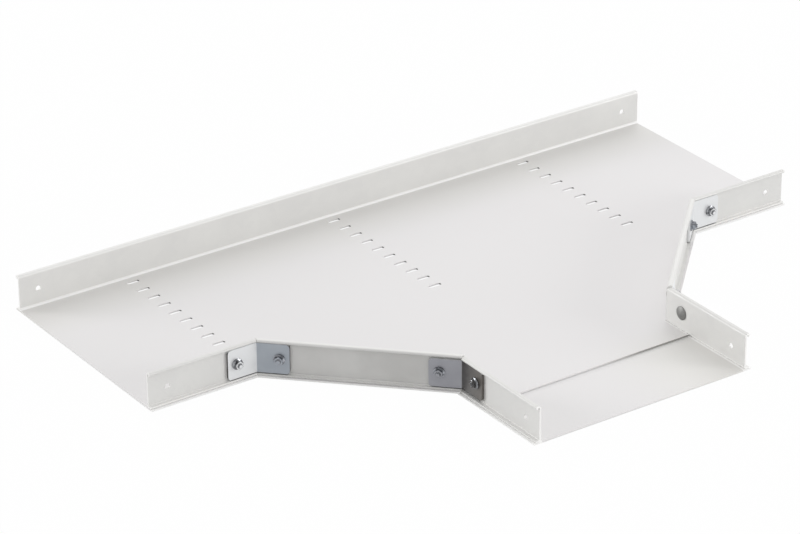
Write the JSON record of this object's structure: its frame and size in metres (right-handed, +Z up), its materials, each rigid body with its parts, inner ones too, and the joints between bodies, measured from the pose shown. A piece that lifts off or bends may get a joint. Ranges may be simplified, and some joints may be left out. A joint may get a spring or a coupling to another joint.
{
  "type": "cable tray tee",
  "caption": "Galvanised cable tray tee with flared corners: slotted floor plate, plain branch plate, outward C side rails, and bent corner connectors bolted outside the walls.",
  "frame": {"origin": "middle of the footprint, on the ground under the branch floor", "axes": "+X along the run, +Y from the branch towards the back rail, +Z up out of the open tray"},
  "size_m": [0.9536, 0.6362, 0.051],
  "materials": {
    "floor_sheet": "strip-galvanised sheet, smooth and matt, very light grey",
    "rail_sheet": "strip-galvanised sheet with faint spangle, light grey, bright at bends and cut edges",
    "connector_plate": "zinc plated, slightly bluish and glossier than the rails",
    "bolt_zinc": "bright zinc plated steel",
    "nut_zinc": "bright zinc plated steel"
  },
  "bodies": {
    "root": {"main_floor": "floor_sheet", "branch_floor": "floor_sheet", "back_rail": "rail_sheet", "left_front_rail": "rail_sheet", "left_diagonal_rail": "rail_sheet", "left_branch_rail": "rail_sheet", "right_front_rail": "rail_sheet", "right_diagonal_rail": "rail_sheet", "right_branch_rail": "rail_sheet", "left_run_connector": "connector_plate", "left_branch_connector": "connector_plate", "right_run_connector": "connector_plate", "right_branch_connector": "connector_plate", "left_run_bolt": "bolt_zinc", "left_flare_run_bolt": "bolt_zinc", "left_flare_branch_bolt": "bolt_zinc", "left_branch_bolt": "bolt_zinc", "right_run_bolt": "bolt_zinc", "right_flare_run_bolt": "bolt_zinc", "right_flare_branch_bolt": "bolt_zinc", "right_branch_bolt": "bolt_zinc", "left_run_nut": "nut_zinc", "left_flare_run_nut": "nut_zinc", "left_flare_branch_nut": "nut_zinc", "left_branch_nut": "nut_zinc", "right_run_nut": "nut_zinc", "right_flare_run_nut": "nut_zinc", "right_flare_branch_nut": "nut_zinc", "right_branch_nut": "nut_zinc"}
  },
  "joints": []
}
